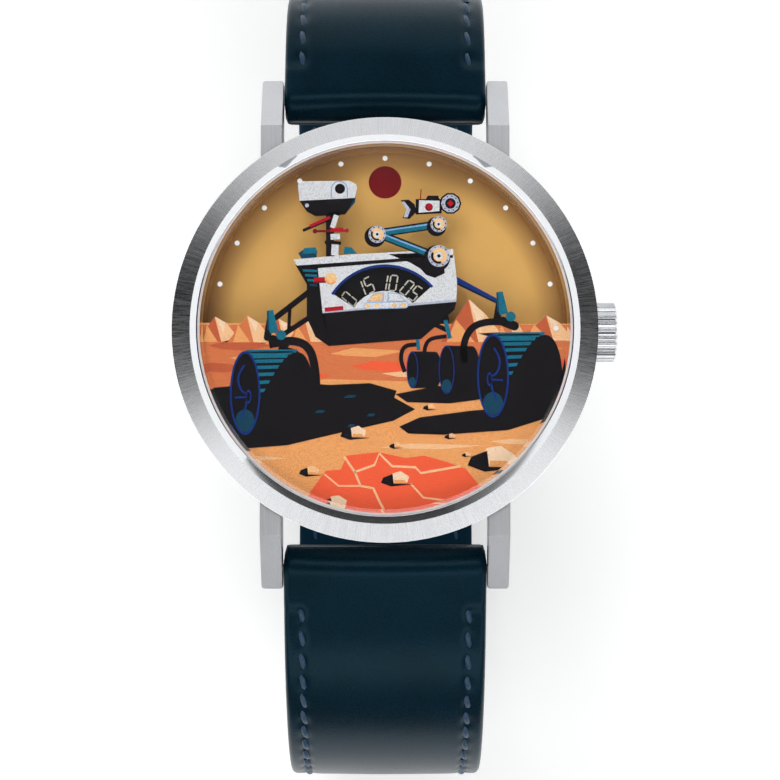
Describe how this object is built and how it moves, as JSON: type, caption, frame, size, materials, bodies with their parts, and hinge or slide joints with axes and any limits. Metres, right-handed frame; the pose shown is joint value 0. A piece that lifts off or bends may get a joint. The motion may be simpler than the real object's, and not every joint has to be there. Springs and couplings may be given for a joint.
{
  "type": "wristwatch",
  "caption": "Round steel wristwatch with turning minute and sun discs behind a printed scene, winding crown and buckled leather strap.",
  "frame": {"origin": "centre of the case back's outer face", "axes": "+Z out of the dial, +Y towards twelve o'clock, +X towards the crown at three o'clock"},
  "size_m": [0.0388, 0.0725, 0.0499],
  "materials": {
    "brushed_steel": "brushed",
    "polished_steel": "polished",
    "steel_plain": "satin",
    "crystal_glass": "clear, polished",
    "gasket_nylon": "satin",
    "flange_gold": "satin lacquer",
    "scene_inks": "printed",
    "sky_disc": "satin print",
    "minute_black": "satin print",
    "movement_brass": "satin",
    "leather_teal": "smooth, waxed",
    "leather_lining": "smooth, matt",
    "strap_thread": "twisted thread"
  },
  "bodies": {
    "watch": {"case_middle": "brushed_steel", "bezel": "brushed_steel", "case_back": "steel_plain", "crystal": "crystal_glass", "crystal_gasket": "gasket_nylon", "flange_ring": "flange_gold", "scene_print": "scene_inks", "movement": "movement_brass", "crown_tube": "steel_plain", "spring_bar_12": "steel_plain", "spring_bar_6": "steel_plain", "strap_short": "leather_teal", "strap_long": "leather_teal", "buckle_frame": "polished_steel", "buckle_bar": "steel_plain", "buckle_tongue": "polished_steel", "fixed_keeper": "leather_teal"},
    "stem": {"crown_stem": "steel_plain"},
    "crown": {"crown": "polished_steel"},
    "minute_disc": {"minute_disc": "minute_black"},
    "hour_disc": {"hour_disc": "sky_disc"},
    "free_keeper": {"free_keeper": "leather_teal"}
  },
  "joints": [
    {"name": "crown_pull", "type": "slide", "parent": "watch", "child": "stem", "axis": [1, 0, 0], "range_m": [0, 0.001]},
    {"name": "crown_turn", "type": "hinge", "parent": "stem", "child": "crown", "pos_m": [0.01815, 0, 0.00325], "axis": [1, 0, 0], "continuous": true},
    {"name": "minute_turn", "type": "hinge", "parent": "watch", "child": "minute_disc", "pos_m": [0, 0, 0.0058], "axis": [0, 0, -1], "continuous": true},
    {"name": "hour_turn", "type": "hinge", "parent": "watch", "child": "hour_disc", "pos_m": [0, 0, 0.00455], "axis": [0, 0, -1], "continuous": true},
    {"name": "keeper_slide", "type": "slide", "parent": "watch", "child": "free_keeper", "axis": [0, 1, 0], "range_m": [-0.002, 0.0024]}
  ],
  "couplings": [
    {"joint": "hour_turn", "follows": "minute_turn", "ratio": 0.041667}
  ]
}
